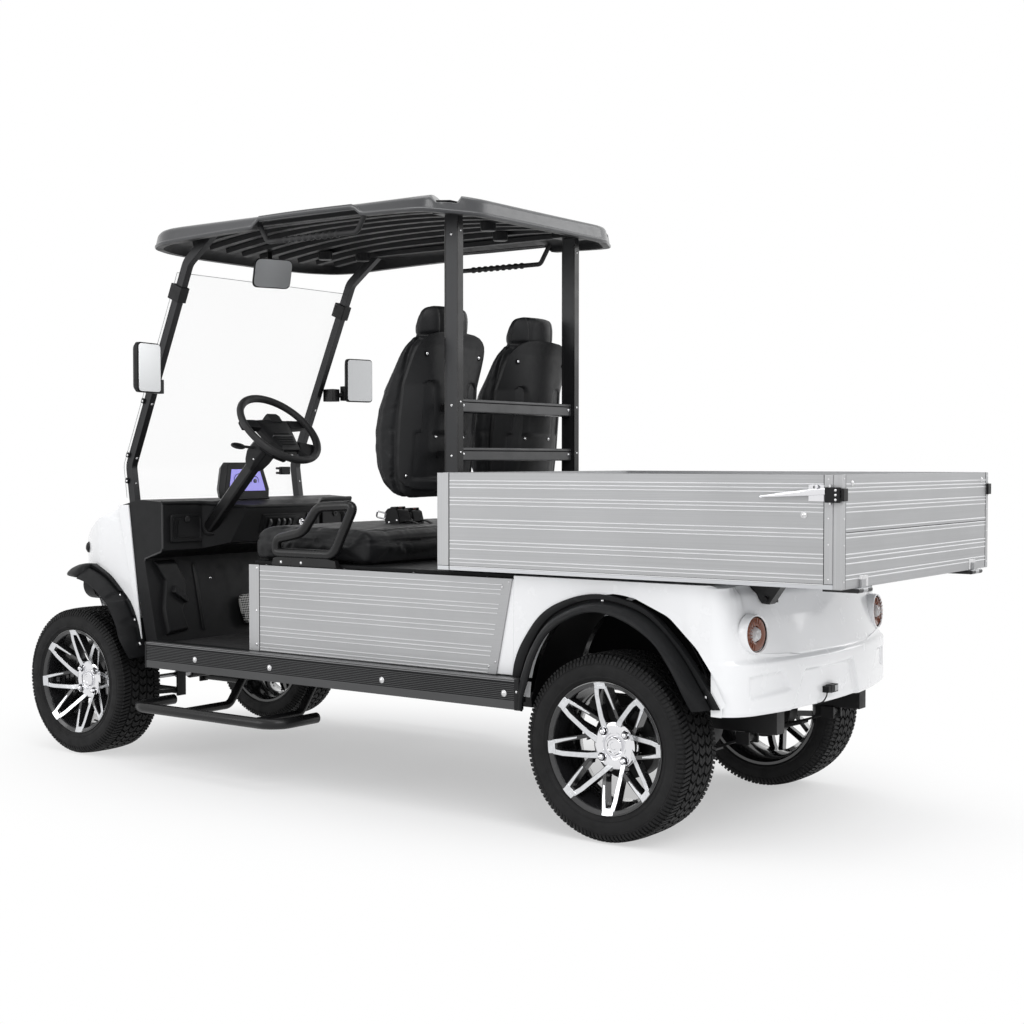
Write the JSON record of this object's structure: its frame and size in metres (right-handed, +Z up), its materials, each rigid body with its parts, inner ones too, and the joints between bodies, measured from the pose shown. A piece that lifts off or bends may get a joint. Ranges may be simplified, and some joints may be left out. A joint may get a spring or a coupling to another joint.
{
  "type": "golf cart",
  "caption": "Electric golf cart with a canopy roof, bench with separate backrests, white nose and a long aluminium cargo bed with a drop tailgate.",
  "frame": {"origin": "centre of the ground rectangle under the whole cart", "axes": "+X forward, +Y to the driver's left, +Z up; the ground is Z = 0"},
  "size_m": [3.559, 1.3878, 2.0563],
  "materials": {
    "tyre_rubber": "matt black tread rubber",
    "rim_black": "gloss black alloy with polished spoke tips",
    "chassis_black": "satin black powder coat",
    "machined_steel": "machined steel",
    "floor_mat": "ribbed black mat",
    "sill_plastic": "grained black plastic",
    "pod_plastic": "grained black plastic",
    "brushed_aluminium": "brushed, clear anodised",
    "battery_case": "dark grey case",
    "leatherette": "black leatherette",
    "shell_plastic": "fine grained black plastic",
    "roof_plastic": "dark grey moulded plastic",
    "grip_rubber": "black grip rubber",
    "post_black": "dark anodised post",
    "clear_glass": "clear laminated",
    "mirror_frame": "black plastic",
    "mirror_silver": "flat mirror",
    "dash_plastic": "grained black plastic",
    "pod_gloss": "semi gloss black",
    "wheel_rim_plastic": "soft black",
    "pedal_pad": "light crosshatched pad",
    "white_paint": "gloss white",
    "flare_plastic": "grained black plastic",
    "lamp_clear": "clear lens",
    "lamp_amber": "amber and brown lens",
    "latch_chrome": "bright plated",
    "buckle_black": "black buckle"
  },
  "bodies": {
    "chassis": {"frame_rails": "chassis_black", "crossmembers": "chassis_black", "rear_axle": "chassis_black", "rear_springs": "chassis_black", "frame_brackets": "chassis_black", "front_suspension": "chassis_black", "front_subframe": "chassis_black", "side_steps": "chassis_black", "seat_back_frame": "chassis_black", "armrests": "chassis_black", "front_bumper": "chassis_black", "steering_column": "chassis_black", "floor_pan": "floor_mat", "rocker_sills": "sill_plastic", "seat_pod": "pod_plastic", "side_panels": "brushed_aluminium", "battery_pack": "battery_case", "seat_backs": "leatherette", "seat_shells": "shell_plastic", "roof_canopy": "roof_plastic", "roof_grab_handles": "grip_rubber", "roof_posts": "post_black", "windscreen": "clear_glass", "mirror_housings": "mirror_frame", "mirror_glasses": "mirror_silver", "dashboard": "dash_plastic", "instrument_pod": "pod_gloss", "pedals": "pedal_pad", "front_cowl": "white_paint", "rear_body": "white_paint", "fender_flares": "flare_plastic", "headlamps": "lamp_clear", "tail_lamps": "lamp_amber"},
    "knuckle_left": {"knuckle_left": "machined_steel"},
    "knuckle_right": {"knuckle_right": "machined_steel"},
    "steering_rack": {"steering_rack": "machined_steel"},
    "steering_wheel": {"steering_wheel": "wheel_rim_plastic"},
    "seat_bench": {"bench_cushion": "leatherette", "belt_buckles": "buckle_black"},
    "glove_lid_left": {"glove_lid_left": "dash_plastic"},
    "glove_lid_right": {"glove_lid_right": "dash_plastic"},
    "cargo_bed": {"bed_floor": "brushed_aluminium", "bed_boards": "brushed_aluminium", "gate_latches": "latch_chrome"},
    "tailgate": {"tailgate": "brushed_aluminium"},
    "wheel_front_left": {"tyre_front_left": "tyre_rubber", "rim_front_left": "rim_black"},
    "wheel_front_right": {"tyre_front_right": "tyre_rubber", "rim_front_right": "rim_black"},
    "wheel_rear_left": {"tyre_rear_left": "tyre_rubber", "rim_rear_left": "rim_black"},
    "wheel_rear_right": {"tyre_rear_right": "tyre_rubber", "rim_rear_right": "rim_black"}
  },
  "joints": [
    {"name": "steer_left", "type": "hinge", "parent": "chassis", "child": "knuckle_left", "pos_m": [1.4195, 0.47, 0.285], "axis": [0, 0, 1], "range_deg": [-28, 28]},
    {"name": "steer_right", "type": "hinge", "parent": "chassis", "child": "knuckle_right", "pos_m": [1.4195, -0.47, 0.285], "axis": [0, 0, 1], "range_deg": [-28, 28]},
    {"name": "rack_slide", "type": "slide", "parent": "chassis", "child": "steering_rack", "axis": [0, 1, 0], "range_m": [-0.0489, 0.0489]},
    {"name": "steering_wheel_turn", "type": "hinge", "parent": "chassis", "child": "steering_wheel", "pos_m": [0.6115, 0.3, 1.262], "axis": [-0.7071, 0, 0.7071], "range_deg": [-336, 336]},
    {"name": "bench_lift", "type": "hinge", "parent": "chassis", "child": "seat_bench", "pos_m": [0.5175, 0, 0.778], "axis": [0, 1, 0], "range_deg": [0, 40]},
    {"name": "glove_lid_left_hinge", "type": "hinge", "parent": "chassis", "child": "glove_lid_left", "pos_m": [0.9942, 0.4175, 0.832], "axis": [0, -1, 0], "range_deg": [0, 85]},
    {"name": "glove_lid_right_hinge", "type": "hinge", "parent": "chassis", "child": "glove_lid_right", "pos_m": [0.9942, -0.4175, 0.832], "axis": [0, -1, 0], "range_deg": [0, 85]},
    {"name": "bed_tilt", "type": "hinge", "parent": "chassis", "child": "cargo_bed", "pos_m": [-1.4355, 0, 0.738], "axis": [0, -1, 0], "range_deg": [0, 45]},
    {"name": "tailgate_hinge", "type": "hinge", "parent": "cargo_bed", "child": "tailgate", "pos_m": [-1.7725, 0, 0.786], "axis": [0, -1, 0], "range_deg": [0, 170]},
    {"name": "spin_front_left", "type": "hinge", "parent": "knuckle_left", "child": "wheel_front_left", "pos_m": [1.4195, 0.5115, 0.285], "axis": [0, 1, 0], "continuous": true},
    {"name": "spin_front_right", "type": "hinge", "parent": "knuckle_right", "child": "wheel_front_right", "pos_m": [1.4195, -0.5115, 0.285], "axis": [0, 1, 0], "continuous": true},
    {"name": "spin_rear_left", "type": "hinge", "parent": "chassis", "child": "wheel_rear_left", "pos_m": [-1.0205, 0.5115, 0.285], "axis": [0, 1, 0], "continuous": true},
    {"name": "spin_rear_right", "type": "hinge", "parent": "chassis", "child": "wheel_rear_right", "pos_m": [-1.0205, -0.5115, 0.285], "axis": [0, 1, 0], "continuous": true}
  ],
  "couplings": [
    {"joint": "steer_right", "follows": "steer_left", "ratio": 1},
    {"joint": "rack_slide", "follows": "steer_left", "m_per_rad": -0.1},
    {"joint": "steering_wheel_turn", "follows": "steer_left", "ratio": 12}
  ]
}
